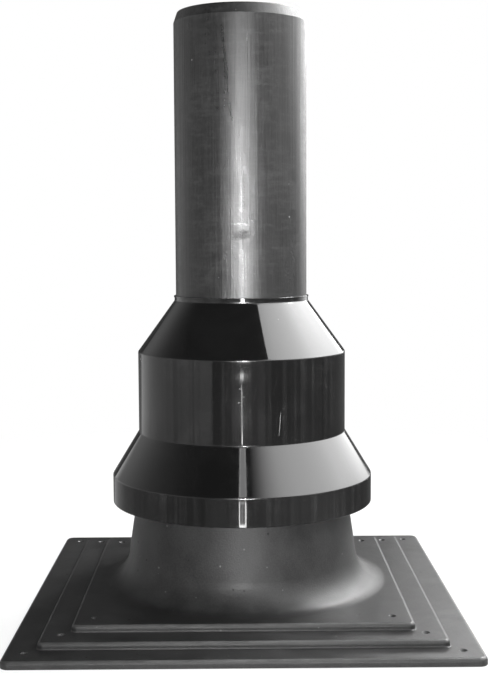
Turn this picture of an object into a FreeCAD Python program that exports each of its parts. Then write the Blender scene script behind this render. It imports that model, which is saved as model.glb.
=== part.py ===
import FreeCAD, Part
import math
import os
import Sketcher

# Roof flue terminal, modelled upright and standing on the underside of its base: +Z up, front towards -Y.
# The origin is on the pipe's axis, in the plane of the base's lower rim. All sizes are in millimetres.

SIZES = [
    # base plate: three square tiers, hollow below
    ("plate_width", 400),
    ("middle_width", 346.6),
    ("top_width", 295.7),
    ("lower_step", 7.1),
    ("middle_step", 6.2),
    ("upper_step", 6.2),
    ("plate_wall", 3),
    ("plate_corner", 8),
    ("tier_corner", 5.5),
    ("inner_corner", 2),
    ("edge_round", 3.6),
    ("edge_land", 1.2),
    # nail holes in the corners of each tier
    ("nail_hole", 4.5),
    ("nail_sink", 7),
    ("nail_sink_angle", 90),
    ("nail_inset_side", 18),
    ("nail_inset_front", 20),
    # flared neck and the spigot that carries the collar
    ("foot_radius", 139.7),
    ("flare_radius", 30),
    ("neck_height", 108),
    ("neck_wall", 3),
    ("spigot_height", 112.5),
    # weather collar, from its skirt up to its lip
    ("collar_radius", 99.2),
    ("collar_wall", 1.2),
    ("collar_clearance", 0.3),
    ("skirt_radius", 124.5),
    ("skirt_height", 25.9),
    ("lower_cone_height", 41.3),
    ("barrel_height", 76.3),
    ("upper_cone_height", 48.6),
    ("collar_neck_height", 4.6),
    ("lip_bead", 0.5),
    ("lip_height", 1.4),
    # flue pipe
    ("pipe_radius", 62.5),
    ("pipe_wall", 5),
    ("pipe_length", 553.5),
    ("pipe_foot_gap", 5),
    ("pipe_clearance", 0.2),
    ("chamfer_height", 9.5),
    ("chamfer_depth", 3.3),
    # ring that seals the pipe in the collar
    ("seal_height", 10),
    ("seal_drop", 4),
    ("seal_clearance", 0.3),
]

# Heights and radii that follow from the sheet
LEDGE_1 = "Sizes.lower_step"
LEDGE_2 = "(Sizes.lower_step + Sizes.middle_step)"
PLATE_TOP = "(Sizes.lower_step + Sizes.middle_step + Sizes.upper_step)"
CONE_TOP = f"({PLATE_TOP} + Sizes.neck_height)"
SPIGOT_TOP = f"({CONE_TOP} + Sizes.spigot_height)"
COLLAR_BORE = "(Sizes.collar_radius - Sizes.collar_wall)"
SPIGOT_RADIUS = f"({COLLAR_BORE} - Sizes.collar_clearance)"
NECK_BORE = "(Sizes.pipe_radius + Sizes.pipe_clearance)"
NECK_RADIUS = f"({NECK_BORE} + Sizes.collar_wall)"

# The inner crease between a cone and a cylinder lies lower than the outer one by a mitre
LOWER_CONE_RUN = "(Sizes.skirt_radius - Sizes.collar_radius)"
UPPER_CONE_RUN = f"(Sizes.collar_radius - {NECK_RADIUS})"
LOWER_MITRE = f"(Sizes.collar_wall * tan(atan({LOWER_CONE_RUN} / Sizes.lower_cone_height) / 2))"
UPPER_MITRE = f"(Sizes.collar_wall * tan(atan({UPPER_CONE_RUN} / Sizes.upper_cone_height) / 2))"

# Heights on the collar, measured from the lower edge of its skirt
SKIRT_TOP = "Sizes.skirt_height"
BARREL_FOOT = f"({SKIRT_TOP} + Sizes.lower_cone_height)"
SHOULDER = f"({BARREL_FOOT} + Sizes.barrel_height)"
NECK_FOOT = f"({SHOULDER} + Sizes.upper_cone_height)"
COLLAR_TOP = f"({NECK_FOOT} + Sizes.collar_neck_height)"
COLLAR_SEAT = f"({SPIGOT_TOP} + Sizes.collar_clearance + {UPPER_MITRE} - {SHOULDER})"

doc = FreeCAD.newDocument("roof_flue_terminal")


def make_sheet():
    sheet = doc.addObject("Spreadsheet::Sheet", "Sizes")
    for row, (alias, value) in enumerate(SIZES, start=1):
        sheet.set(f"A{row}", alias)
        sheet.set(f"B{row}", str(value))
        sheet.setAlias(f"B{row}", alias)
    doc.recompute()
    return sheet


def evaluate(expression):
    value = sheet.evalExpression(expression)
    return float(getattr(value, "Value", value))


def make_body(label, height=None):
    body = doc.addObject("PartDesign::Body", label)
    body.Label = label
    if height:
        body.setExpression("Placement.Base.z", height)
    return body


def origin_part(body, role):
    return next(part for part in body.Origin.OriginFeatures if part.Role == role)


def make_sketch(body, name, role, offset=None):
    sketch = body.newObject("Sketcher::SketchObject", name)
    sketch.AttachmentSupport = [(origin_part(body, role), "")]
    sketch.MapMode = "FlatFace"
    if offset:
        sketch.setExpression("AttachmentOffset.Base.z", offset)
    return sketch


def drive(sketch, constraint, expression):
    sketch.setExpression(f"Constraints[{constraint}]", expression)


def pin_point(sketch, line, end, place):
    """Fix a line's end at (radius, height); a height of None lies on the horizontal axis."""
    across, up = place
    constraint = Sketcher.Constraint("DistanceX", -1, 1, line, end, evaluate(across))
    drive(sketch, sketch.addConstraint(constraint), across)
    if up is None:
        sketch.addConstraint(Sketcher.Constraint("PointOnObject", line, end, -1))
        return
    constraint = Sketcher.Constraint("DistanceY", -1, 1, line, end, evaluate(up))
    drive(sketch, sketch.addConstraint(constraint), up)


def spot(place):
    across, up = place
    return FreeCAD.Vector(evaluate(across), evaluate(up) if up else 0, 0)


def draw_outline(sketch, places):
    """Draw a closed outline of straight lines through places given as expressions."""
    spots = [spot(place) for place in places]
    count = len(places)
    for index in range(count):
        sketch.addGeometry(Part.LineSegment(spots[index], spots[(index + 1) % count]))
    for index in range(count):
        sketch.addConstraint(Sketcher.Constraint("Coincident", index, 2, (index + 1) % count, 1))
    for index, place in enumerate(places):
        pin_point(sketch, index, 1, place)


def revolve(body, sketch, name):
    turn = body.newObject("PartDesign::Revolution", name)
    turn.Profile = sketch
    turn.ReferenceAxis = (sketch, ["V_Axis"])
    turn.Angle = 360
    sketch.Visibility = False
    return turn


def draw_rounded_square(sketch, width, corner):
    """Draw a square centred on the origin, with rounded corners."""
    half = evaluate(width) / 2
    radius = evaluate(corner)
    reach = half - radius
    directions = [(1, 0), (0, 1), (-1, 0), (0, -1)]
    for x, y in directions:
        middle = FreeCAD.Vector(x * half, y * half, 0)
        along = FreeCAD.Vector(-y * reach, x * reach, 0)
        sketch.addGeometry(Part.LineSegment(middle - along, middle + along))
    for turn, (x, y) in enumerate(directions):
        centre = FreeCAD.Vector(x - y, y + x, 0) * reach
        circle = Part.Circle(centre, FreeCAD.Vector(0, 0, 1), radius)
        start = math.radians(90 * turn)
        sketch.addGeometry(Part.ArcOfCircle(circle, start, start + math.radians(90)))
    for side in range(4):
        corner_arc = 4 + side
        sketch.addConstraint(Sketcher.Constraint("Tangent", side, 2, corner_arc, 1))
        sketch.addConstraint(Sketcher.Constraint("Tangent", corner_arc, 2, (side + 1) % 4, 1))
    for side in (0, 2):
        sketch.addConstraint(Sketcher.Constraint("Vertical", side))
        sketch.addConstraint(Sketcher.Constraint("Horizontal", side + 1))
    for corner_arc in (5, 6, 7):
        sketch.addConstraint(Sketcher.Constraint("Equal", 4, corner_arc))
    constraint = Sketcher.Constraint("Radius", 4, radius)
    drive(sketch, sketch.addConstraint(constraint), corner)
    for kind, side in (("DistanceX", 0), ("DistanceY", 1)):
        constraint = Sketcher.Constraint(kind, -1, 1, side, 1, half)
        drive(sketch, sketch.addConstraint(constraint), f"{width} / 2")
    for kind, side in (("DistanceX", 2), ("DistanceY", 3)):
        constraint = Sketcher.Constraint(kind, side, 1, -1, 1, half)
        drive(sketch, sketch.addConstraint(constraint), f"{width} / 2")


def edges_at(shape, height):
    """Name the edges that lie wholly at one height."""
    names = []
    for index, edge in enumerate(shape.Edges, start=1):
        box = edge.BoundBox
        if abs(box.ZMin - height) < 1e-4 and abs(box.ZMax - height) < 1e-4:
            names.append(f"Edge{index}")
    return names


def pad_tier(body, name, width, corner, foot, step):
    """Add one tier of the plate and round its upper edge."""
    sketch = make_sketch(body, f"{name}_outline", "XY_Plane", foot)
    draw_rounded_square(sketch, width, corner)
    pad = body.newObject("PartDesign::Pad", name)
    pad.Profile = sketch
    pad.setExpression("Length", step)
    doc.recompute()
    rounding = body.newObject("PartDesign::Fillet", f"{name}_edge")
    rounding.Base = (pad, edges_at(pad.Shape, evaluate(f"{foot} + {step}" if foot else step)))
    rounding.setExpression("Radius", f"min(Sizes.edge_round; {step} - Sizes.edge_land)")
    doc.recompute()


def hollow_tier(body, name, width, ceiling):
    """Cut the hollow below one tier, from the floor up to the underside of its wall."""
    sketch = make_sketch(body, f"{name}_outline", "XY_Plane")
    draw_rounded_square(sketch, f"({width} - 2 * Sizes.plate_wall)", "Sizes.inner_corner")
    pocket = body.newObject("PartDesign::Pocket", name)
    pocket.Profile = sketch
    pocket.Reversed = True
    pocket.setExpression("Length", f"{ceiling} - Sizes.plate_wall")
    doc.recompute()


def drill_tier(body, name, width, top):
    """Drill and countersink a nail hole in each corner of one tier."""
    sketch = make_sketch(body, f"{name}_places", "XY_Plane", top)
    across = f"{width} / 2 - Sizes.nail_inset_side"
    along = f"{width} / 2 - Sizes.nail_inset_front"
    radius = "Sizes.nail_hole / 2"
    for index, (x, y) in enumerate([(1, 1), (-1, 1), (-1, -1), (1, -1)]):
        centre = FreeCAD.Vector(x * evaluate(across), y * evaluate(along), 0)
        sketch.addGeometry(Part.Circle(centre, FreeCAD.Vector(0, 0, 1), evaluate(radius)))
        for kind, sign, place in (("DistanceX", x, across), ("DistanceY", y, along)):
            ends = (-1, 1, index, 3) if sign > 0 else (index, 3, -1, 1)
            constraint = Sketcher.Constraint(kind, *ends, evaluate(place))
            drive(sketch, sketch.addConstraint(constraint), place)
        constraint = Sketcher.Constraint("Radius", index, evaluate(radius))
        drive(sketch, sketch.addConstraint(constraint), radius)
    doc.recompute()
    hole = body.newObject("PartDesign::Hole", name)
    hole.Profile = sketch
    hole.ThreadType = 0
    hole.DepthType = "ThroughAll"
    hole.setExpression("Diameter", "Sizes.nail_hole")
    hole.HoleCutType = "Countersink"
    hole.HoleCutCustomValues = True
    hole.setExpression("HoleCutCountersinkAngle", "Sizes.nail_sink_angle")
    hole.setExpression("HoleCutDiameter", "Sizes.nail_sink")
    doc.recompute()


def cut_neck_opening(body):
    """Cut the round opening that the neck's flare grows out of."""
    sketch = make_sketch(body, "neck_opening_outline", "XY_Plane")
    radius = evaluate("Sizes.foot_radius")
    sketch.addGeometry(Part.Circle(FreeCAD.Vector(0, 0, 0), FreeCAD.Vector(0, 0, 1), radius))
    sketch.addConstraint(Sketcher.Constraint("Coincident", 0, 3, -1, 1))
    constraint = Sketcher.Constraint("Radius", 0, radius)
    drive(sketch, sketch.addConstraint(constraint), "Sizes.foot_radius")
    opening = body.newObject("PartDesign::Pocket", "neck_opening")
    opening.Profile = sketch
    opening.Reversed = True
    opening.setExpression("Length", PLATE_TOP)
    doc.recompute()


def draw_neck(sketch):
    """Draw the wall of the neck: flare, cone and spigot, with a constant wall."""
    foot = evaluate("Sizes.foot_radius")
    top = evaluate(PLATE_TOP)
    flare = evaluate("Sizes.flare_radius")
    wall = evaluate("Sizes.neck_wall")
    bore = evaluate(f"{SPIGOT_RADIUS} - Sizes.neck_wall")
    outer = evaluate(SPIGOT_RADIUS)
    cone_top = evaluate(CONE_TOP)
    spigot_top = evaluate(SPIGOT_TOP)
    centre = FreeCAD.Vector(foot, top + flare, 0)
    cone_lean = math.atan2(foot - flare - outer, cone_top - top - flare)

    def flare_arc(radius):
        circle = Part.Circle(centre, FreeCAD.Vector(0, 0, 1), radius)
        return Part.ArcOfCircle(circle, math.pi + cone_lean, 1.5 * math.pi)

    outer_arc = sketch.addGeometry(flare_arc(flare))
    outer_cone_foot = centre + FreeCAD.Vector(-flare, 0, 0)
    outer_cone = sketch.addGeometry(
        Part.LineSegment(outer_cone_foot, FreeCAD.Vector(outer, cone_top, 0))
    )
    outer_spigot = sketch.addGeometry(
        Part.LineSegment(FreeCAD.Vector(outer, cone_top, 0), FreeCAD.Vector(outer, spigot_top, 0))
    )
    rim = sketch.addGeometry(
        Part.LineSegment(FreeCAD.Vector(outer, spigot_top, 0), FreeCAD.Vector(bore, spigot_top, 0))
    )
    inner_spigot = sketch.addGeometry(
        Part.LineSegment(FreeCAD.Vector(bore, spigot_top, 0), FreeCAD.Vector(bore, cone_top, 0))
    )
    inner_cone = sketch.addGeometry(
        Part.LineSegment(FreeCAD.Vector(bore, cone_top, 0), outer_cone_foot - FreeCAD.Vector(wall, 0, 0))
    )
    inner_arc = sketch.addGeometry(flare_arc(flare + wall))
    foot_edge = sketch.addGeometry(
        Part.LineSegment(FreeCAD.Vector(foot, top - wall, 0), FreeCAD.Vector(foot, top, 0))
    )
    joins = [
        ("Tangent", outer_cone, 1, outer_arc, 1),
        ("Coincident", outer_cone, 2, outer_spigot, 1),
        ("Coincident", outer_spigot, 2, rim, 1),
        ("Coincident", rim, 2, inner_spigot, 1),
        ("Coincident", inner_spigot, 2, inner_cone, 1),
        ("Tangent", inner_cone, 2, inner_arc, 1),
        ("Coincident", inner_arc, 2, foot_edge, 1),
        ("Coincident", foot_edge, 2, outer_arc, 2),
        ("Coincident", inner_arc, 3, outer_arc, 3),
        ("Vertical", outer_spigot),
        ("Vertical", inner_spigot),
        ("Vertical", foot_edge),
        ("Horizontal", rim),
        ("Parallel", outer_cone, inner_cone),
        ("Vertical", foot_edge, 2, outer_arc, 3),
    ]
    for join in joins:
        sketch.addConstraint(Sketcher.Constraint(*join))
    driven = [
        (("DistanceX", -1, 1, foot_edge, 2), "Sizes.foot_radius"),
        (("DistanceY", -1, 1, foot_edge, 2), PLATE_TOP),
        (("Radius", outer_arc), "Sizes.flare_radius"),
        (("DistanceY", foot_edge, 1, foot_edge, 2), "Sizes.neck_wall"),
        (("DistanceX", -1, 1, outer_cone, 2), SPIGOT_RADIUS),
        (("DistanceY", -1, 1, outer_cone, 2), CONE_TOP),
        (("DistanceY", -1, 1, rim, 1), SPIGOT_TOP),
        (("DistanceX", rim, 2, rim, 1), "Sizes.neck_wall"),
    ]
    for parts, expression in driven:
        constraint = Sketcher.Constraint(*parts, evaluate(expression))
        drive(sketch, sketch.addConstraint(constraint), expression)


def build_base():
    body = make_body("base_flashing")
    pad_tier(body, "lower_tier", "Sizes.plate_width", "Sizes.plate_corner", None, "Sizes.lower_step")
    pad_tier(body, "middle_tier", "Sizes.middle_width", "Sizes.tier_corner", LEDGE_1, "Sizes.middle_step")
    pad_tier(body, "upper_tier", "Sizes.top_width", "Sizes.tier_corner", LEDGE_2, "Sizes.upper_step")
    hollow_tier(body, "lower_hollow", "Sizes.plate_width", LEDGE_1)
    hollow_tier(body, "middle_hollow", "Sizes.middle_width", LEDGE_2)
    hollow_tier(body, "upper_hollow", "Sizes.top_width", PLATE_TOP)
    drill_tier(body, "lower_nail_holes", "Sizes.plate_width", LEDGE_1)
    drill_tier(body, "middle_nail_holes", "Sizes.middle_width", LEDGE_2)
    drill_tier(body, "upper_nail_holes", "Sizes.top_width", PLATE_TOP)
    cut_neck_opening(body)
    sketch = make_sketch(body, "neck_outline", "XZ_Plane")
    draw_neck(sketch)
    revolve(body, sketch, "neck")
    doc.recompute()
    return body


def build_collar():
    body = make_body("weather_collar", COLLAR_SEAT)
    skirt_bore = "(Sizes.skirt_radius - Sizes.collar_wall)"
    bead = f"({NECK_RADIUS} + Sizes.lip_bead)"
    bead_foot = f"({COLLAR_TOP} - Sizes.lip_height)"
    sketch = make_sketch(body, "collar_outline", "XZ_Plane")
    draw_outline(sketch, [
        ("Sizes.skirt_radius", None),
        ("Sizes.skirt_radius", SKIRT_TOP),
        ("Sizes.collar_radius", BARREL_FOOT),
        ("Sizes.collar_radius", SHOULDER),
        (NECK_RADIUS, NECK_FOOT),
        (NECK_RADIUS, bead_foot),
        (bead, bead_foot),
        (bead, COLLAR_TOP),
        (NECK_BORE, COLLAR_TOP),
        (NECK_BORE, f"{NECK_FOOT} - {UPPER_MITRE}"),
        (COLLAR_BORE, f"{SHOULDER} - {UPPER_MITRE}"),
        (COLLAR_BORE, f"{BARREL_FOOT} - {LOWER_MITRE}"),
        (skirt_bore, f"{SKIRT_TOP} - {LOWER_MITRE}"),
        (skirt_bore, None),
    ])
    revolve(body, sketch, "collar_shell")
    return body


def build_pipe():
    body = make_body("flue_pipe", "Sizes.pipe_foot_gap")
    bore = "(Sizes.pipe_radius - Sizes.pipe_wall)"
    sketch = make_sketch(body, "pipe_outline", "XZ_Plane")
    draw_outline(sketch, [
        (bore, None),
        ("Sizes.pipe_radius", None),
        ("Sizes.pipe_radius", "(Sizes.pipe_length - Sizes.chamfer_height)"),
        ("(Sizes.pipe_radius - Sizes.chamfer_depth)", "Sizes.pipe_length"),
        (bore, "Sizes.pipe_length"),
    ])
    revolve(body, sketch, "pipe_tube")
    return body


def build_seal():
    """The ring lies under the collar's neck, its slope parallel to the upper cone."""
    slope = f"({UPPER_CONE_RUN} / Sizes.upper_cone_height)"
    neck_crease = f"({COLLAR_SEAT} + {NECK_FOOT} - {UPPER_MITRE})"
    body = make_body("pipe_seal", f"{neck_crease} - Sizes.seal_drop - Sizes.seal_height")
    top_radius = f"({NECK_BORE} + Sizes.seal_drop * {slope} - Sizes.seal_clearance)"
    foot_radius = f"({top_radius} + Sizes.seal_height * {slope})"
    sketch = make_sketch(body, "seal_outline", "XZ_Plane")
    draw_outline(sketch, [
        (NECK_BORE, None),
        (foot_radius, None),
        (top_radius, "Sizes.seal_height"),
        (NECK_BORE, "Sizes.seal_height"),
    ])
    revolve(body, sketch, "seal_ring")
    return body


def check_and_export(bodies):
    doc.recompute()
    for item in doc.Objects:
        if "Invalid" in item.State or "Error" in item.State:
            raise RuntimeError(f"{item.Name} failed: {item.State}")
    for body in bodies:
        if body.Shape.isNull() or not body.Shape.isValid():
            raise RuntimeError(f"{body.Label} has no valid shape")
        if len(body.Shape.Solids) != 1:
            raise RuntimeError(f"{body.Label} holds {len(body.Shape.Solids)} solids")
    os.makedirs("parts", exist_ok=True)
    for body in bodies:
        body.Shape.exportStep(f"parts/{body.Label}.step")


sheet = make_sheet()
check_and_export([build_base(), build_collar(), build_pipe(), build_seal()])
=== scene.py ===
import math

import bpy
from mathutils import Matrix, Vector
from mathutils.geometry import delaunay_2d_cdt


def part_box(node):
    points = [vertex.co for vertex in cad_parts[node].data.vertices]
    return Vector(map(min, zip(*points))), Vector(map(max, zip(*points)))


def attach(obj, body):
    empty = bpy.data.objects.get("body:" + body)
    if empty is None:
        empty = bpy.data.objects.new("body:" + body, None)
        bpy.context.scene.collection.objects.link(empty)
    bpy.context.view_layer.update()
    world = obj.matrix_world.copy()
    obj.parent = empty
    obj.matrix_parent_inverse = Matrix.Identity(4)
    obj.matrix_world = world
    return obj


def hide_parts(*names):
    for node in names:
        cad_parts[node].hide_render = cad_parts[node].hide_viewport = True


# Roof flue terminal: a moulded base flashing, a gloss weather collar and a plain flue pipe.
# All sizes are in metres, with +Z up, the front towards -Y and the pipe's axis on Z.

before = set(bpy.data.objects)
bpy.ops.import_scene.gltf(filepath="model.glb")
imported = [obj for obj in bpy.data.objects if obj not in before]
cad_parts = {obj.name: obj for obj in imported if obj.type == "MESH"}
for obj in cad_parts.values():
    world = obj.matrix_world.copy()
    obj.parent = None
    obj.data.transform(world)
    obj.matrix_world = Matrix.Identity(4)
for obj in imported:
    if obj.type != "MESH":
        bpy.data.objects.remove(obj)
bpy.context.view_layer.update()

FULL_TURN = 2 * math.pi
BODY = "root"

# Camera, from the photograph's perspective
CAMERA_PLACE = (-0.0041, -1.1354, 0.3513)
CAMERA_PAN = 0.00579
CAMERA_TILT = 0.08605
CAMERA_ROLL = -0.00515
FOCAL_LENGTH_PIXELS = 1184.16
PHOTO_HEIGHT_PIXELS = 674
SENSOR_HEIGHT = 36

# Base flashing: three square tiers with a flared neck
TIER_WIDTHS = (0.400, 0.3466, 0.2957)
TIER_TOPS = (0.0071, 0.0133, 0.0195)
TIER_CORNERS = (0.008, 0.0055, 0.0055)
TIER_EDGE_ROUND = 0.0036
TIER_FOOT_ROUND = 0.0012
LOWER_RIM_ROUND = 0.0006
PLATE_WALL = 0.003
HOLLOW_CORNER = 0.002
HOLLOW_ROUND = 0.0008
FLARE_FOOT_RADIUS = 0.1397
FLARE_RADIUS = 0.030
NECK_CONE_TOP = 0.1275
NECK_WALL = 0.003
SPIGOT_RADIUS = 0.0977
SPIGOT_ROUND = 0.0005

# Nail holes near the corners of each tier
NAIL_INSETS = (0.018, 0.020)
NAIL_RADIUS = 0.00225
NAIL_SINK_RADIUS = 0.0035
NAIL_EDGE_ROUND = 0.0003

# Weather collar, from its skirt up to its lip
COLLAR_WALL = 0.0012
COLLAR_RADIUS = 0.0992
COLLAR_HEIGHTS = {"skirt": 0.0259, "lower cone": 0.0413, "barrel": 0.0763, "upper cone": 0.0486}
COLLAR_NECK_RADIUS = 0.0639
LIP_BEAD = 0.0005
LIP_HEIGHT = 0.0014
CREASE_ROUND = 0.0009
OUTER_CREASE_ROUND = 0.002
SHEET_EDGE_ROUND = 0.00045

# Flue pipe
PIPE_WALL = 0.005
CHAMFER_HEIGHT = 0.0095
CHAMFER_DEPTH = 0.0033
PIPE_EDGE_ROUND = 0.0005

# Fineness of the meshes
SIDES = 256
HOLE_SIDES = 24
ARC_STEPS = 5
FLARE_STEPS = 24
CORNER_STEPS = 8
EDGE_STEPS = 24


def outward(direction):
    """The normal on the right of a direction of travel in an outline of (across, up)."""
    return Vector((direction.y, -direction.x))


def turned(vector, angle):
    return Vector((
        vector.x * math.cos(angle) - vector.y * math.sin(angle),
        vector.x * math.sin(angle) + vector.y * math.cos(angle),
    ))


def quarter_turned(vector, quarters):
    """Turn about Z by whole quarters with no rounding, so that points on a straight edge stay in line."""
    for _ in range(quarters):
        vector = Vector((-vector.y, vector.x, vector.z))
    return vector


def round_outline(corners, closed=True):
    """Round each (across, up, rounding) corner; gives (point, normal) pairs with the solid on the left."""
    places = [Vector(corner[:2]) for corner in corners]
    count = len(places)
    outline = []
    for index, (place, corner) in enumerate(zip(places, corners)):
        before = (place - places[index - 1]).normalized()
        after = (places[(index + 1) % count] - place).normalized()
        if not closed and index == 0:
            outline.append((place, outward(after)))
            continue
        if not closed and index == count - 1:
            outline.append((place, outward(before)))
            continue
        turn = math.atan2(before.x * after.y - before.y * after.x, before.dot(after))
        rounding = corner[2]
        start = place - before * rounding * math.tan(abs(turn) / 2)
        side = math.copysign(rounding, turn)
        centre = start - outward(before) * side
        for step in range(ARC_STEPS + 1):
            normal = turned(outward(before), turn * step / ARC_STEPS)
            outline.append((centre + normal * side, normal))
    return outline


def add_object(name, data):
    piece = bpy.data.objects.new(name, data)
    bpy.context.scene.collection.objects.link(piece)
    return piece


class Shell:
    """A mesh made of loops of points, bands between loops and flat fillings."""

    def __init__(self):
        self.points = []
        self.normals = []
        self.faces = []

    def loop(self, points, normals):
        first = len(self.points)
        self.points.extend(points)
        self.normals.extend(normals)
        return list(range(first, len(self.points)))

    def ring(self, place, normal, centre=(0, 0), sides=SIDES):
        """A round loop at (radius, height), anticlockwise seen from above."""
        points = []
        normals = []
        for side in range(sides):
            around = FULL_TURN * side / sides
            out = Vector((math.cos(around), math.sin(around), 0))
            points.append(Vector((*centre, 0)) + out * place.x + Vector((0, 0, place.y)))
            normals.append(out * normal.x + Vector((0, 0, normal.y)))
        return self.loop(points, normals)

    def square(self, place, normal, reach):
        """A square loop with round corners at (half width, height); its corner arcs are centred at reach."""
        points = []
        normals = []
        corner = place.x - reach
        for quarter in range(4):
            spots = []
            for step in range(CORNER_STEPS + 1):
                angle = FULL_TURN / 4 * step / CORNER_STEPS
                arc = Vector((reach + corner * math.cos(angle), reach + corner * math.sin(angle), place.y))
                spots.append((arc, angle))
            for step in range(1, EDGE_STEPS):
                along = reach - 2 * reach * step / EDGE_STEPS
                spots.append((Vector((along, reach + corner, place.y)), FULL_TURN / 4))
            for spot, angle in spots:
                out = Vector((math.cos(angle), math.sin(angle), 0))
                points.append(quarter_turned(spot, quarter))
                normals.append(quarter_turned(out * normal.x + Vector((0, 0, normal.y)), quarter))
        return self.loop(points, normals)

    def band(self, lower, upper):
        count = len(lower)
        for side in range(count):
            following = (side + 1) % count
            self.faces.append((lower[side], lower[following], upper[following], upper[side]))

    def bands(self, loops):
        for lower, upper in zip(loops, loops[1:]):
            self.band(lower, upper)

    def fill(self, outer, inners, up):
        """Fill the flat between one outer loop and the loops that lie inside it."""
        loops = [outer, *inners]
        numbers = [number for loop in loops for number in loop]
        flat = [self.points[number].to_2d() for number in numbers]
        edges = []
        first = 0
        for loop in loops:
            edges.extend((first + side, first + (side + 1) % len(loop)) for side in range(len(loop)))
            first += len(loop)
        outlines = [[self.points[number].to_2d() for number in loop] for loop in loops]
        triangles = delaunay_2d_cdt(flat, edges, [], 0, 1e-7)[2]
        for triangle in triangles:
            middle = sum((flat[corner] for corner in triangle), Vector((0, 0))) / 3
            held = [encloses(outline, middle) for outline in outlines]
            if not held[0] or any(held[1:]):
                continue
            a, b, c = (flat[corner] for corner in triangle)
            upward = (b - a).cross(c - a) > 0
            if upward != up:
                triangle = reversed(triangle)
            self.faces.append(tuple(numbers[corner] for corner in triangle))

    def build(self, name):
        mesh = bpy.data.meshes.new(name)
        mesh.from_pydata(self.points, [], self.faces)
        mesh.shade_smooth()
        mesh.normals_split_custom_set_from_vertices([normal.normalized() for normal in self.normals])
        return add_object(name, mesh)


def encloses(outline, spot):
    """Whether a closed outline of flat points goes round a spot."""
    inside = False
    for start, end in zip(outline, outline[1:] + outline[:1]):
        if (start.y > spot.y) != (end.y > spot.y):
            crossing = start.x + (spot.y - start.y) * (end.x - start.x) / (end.y - start.y)
            inside ^= spot.x < crossing
    return inside


def turn_shell(name, corners):
    """Turn a closed outline about the pipe's axis."""
    shell = Shell()
    loops = [shell.ring(place, normal) for place, normal in round_outline(corners)]
    shell.bands(loops + loops[:1])
    return shell.build(name)


def neck_outline():
    """The flare, cone and spigot, from the plate's top over the rim to the plate's underside."""
    centre = Vector((FLARE_FOOT_RADIUS, TIER_TOPS[2] + FLARE_RADIUS))
    run = centre - Vector((SPIGOT_RADIUS, NECK_CONE_TOP))
    lean = math.atan2(run.x, -run.y) - math.asin(FLARE_RADIUS / run.length)
    spigot_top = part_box("base_flashing")[1].z
    bore = SPIGOT_RADIUS - NECK_WALL
    angles = [lean + (math.pi / 2 - lean) * step / FLARE_STEPS for step in range(FLARE_STEPS + 1)]
    rays = [Vector((math.cos(angle), math.sin(angle))) for angle in angles]
    outer_flare = [(centre - ray * FLARE_RADIUS, ray) for ray in reversed(rays)]
    inner_flare = [(centre - ray * (FLARE_RADIUS + NECK_WALL), -ray) for ray in rays]
    spigot = round_outline([
        (*outer_flare[-1][0], 0),
        (SPIGOT_RADIUS, NECK_CONE_TOP, SPIGOT_ROUND),
        (SPIGOT_RADIUS, spigot_top, SPIGOT_ROUND),
        (bore, spigot_top, SPIGOT_ROUND),
        (bore, NECK_CONE_TOP, SPIGOT_ROUND),
        (*inner_flare[0][0], 0),
    ], closed=False)
    return outer_flare + spigot[1:-1] + inner_flare


def drill_tier(shell, tier, ceiling):
    """Make the countersunk nail holes of one tier; gives their upper and lower loops."""
    top = TIER_TOPS[tier]
    half = TIER_WIDTHS[tier] / 2
    sink_depth = NAIL_SINK_RADIUS - NAIL_RADIUS
    outline = round_outline([
        (NAIL_SINK_RADIUS + NAIL_EDGE_ROUND, top, 0),
        (NAIL_SINK_RADIUS, top, NAIL_EDGE_ROUND),
        (NAIL_RADIUS, top - sink_depth, NAIL_EDGE_ROUND),
        (NAIL_RADIUS, ceiling, NAIL_EDGE_ROUND),
        (NAIL_RADIUS + 2 * NAIL_EDGE_ROUND, ceiling, 0),
    ], closed=False)
    uppers = []
    lowers = []
    for x, y in ((1, 1), (-1, 1), (-1, -1), (1, -1)):
        centre = (x * (half - NAIL_INSETS[0]), y * (half - NAIL_INSETS[1]))
        loops = [shell.ring(place, normal, centre, HOLE_SIDES) for place, normal in outline]
        shell.bands(loops)
        uppers.append(loops[0])
        lowers.append(loops[-1])
    return uppers, lowers


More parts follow.
